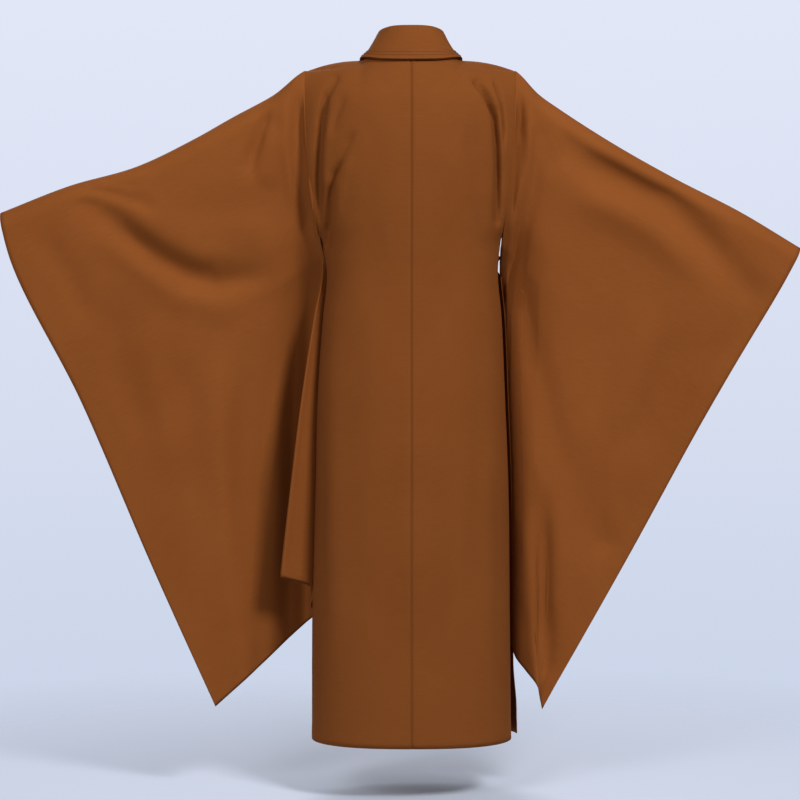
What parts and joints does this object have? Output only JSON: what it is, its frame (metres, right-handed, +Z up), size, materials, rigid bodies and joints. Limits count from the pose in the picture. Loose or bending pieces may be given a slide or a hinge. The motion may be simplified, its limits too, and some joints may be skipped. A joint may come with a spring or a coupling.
{
  "type": "buddhist monk robe",
  "caption": "Long wrap-over monk's robe in brown cloth with bag sleeves open the full height at the cuffs and a standing crossed collar, worn and hollow, arms held out and down.",
  "frame": {"origin": "midway between the neck sides at the height of the shoulder ridge, where the robe hangs on its wearer", "axes": "+X towards the wearer's left sleeve, +Y out of the wearer's back, +Z up"},
  "size_m": [1.6346, 0.3051, 1.4554],
  "materials": {
    "back_left": "matt",
    "back_right": "matt",
    "front_outer": "matt",
    "front_inner": "matt",
    "sleeve_left_back": "matt",
    "sleeve_left_front": "matt",
    "sleeve_right_back": "matt",
    "sleeve_right_front": "matt",
    "collar_band": "matt",
    "collar_ply_long": "matt",
    "collar_ply_middle": "matt",
    "collar_ply_short": "matt",
    "tie_front": "matt",
    "tie_side": "matt",
    "tie_wrap": "matt"
  },
  "bodies": {
    "root": {"back_left": "back_left", "back_right": "back_right", "front_outer": "front_outer", "front_inner": "front_inner", "sleeve_left_back": "sleeve_left_back", "sleeve_left_front": "sleeve_left_front", "sleeve_right_back": "sleeve_right_back", "sleeve_right_front": "sleeve_right_front", "collar_band": "collar_band", "collar_ply_long": "collar_ply_long", "collar_ply_middle": "collar_ply_middle", "collar_ply_short": "collar_ply_short", "tie_front": "tie_front", "tie_side": "tie_side", "tie_wrap": "tie_wrap"}
  },
  "joints": []
}
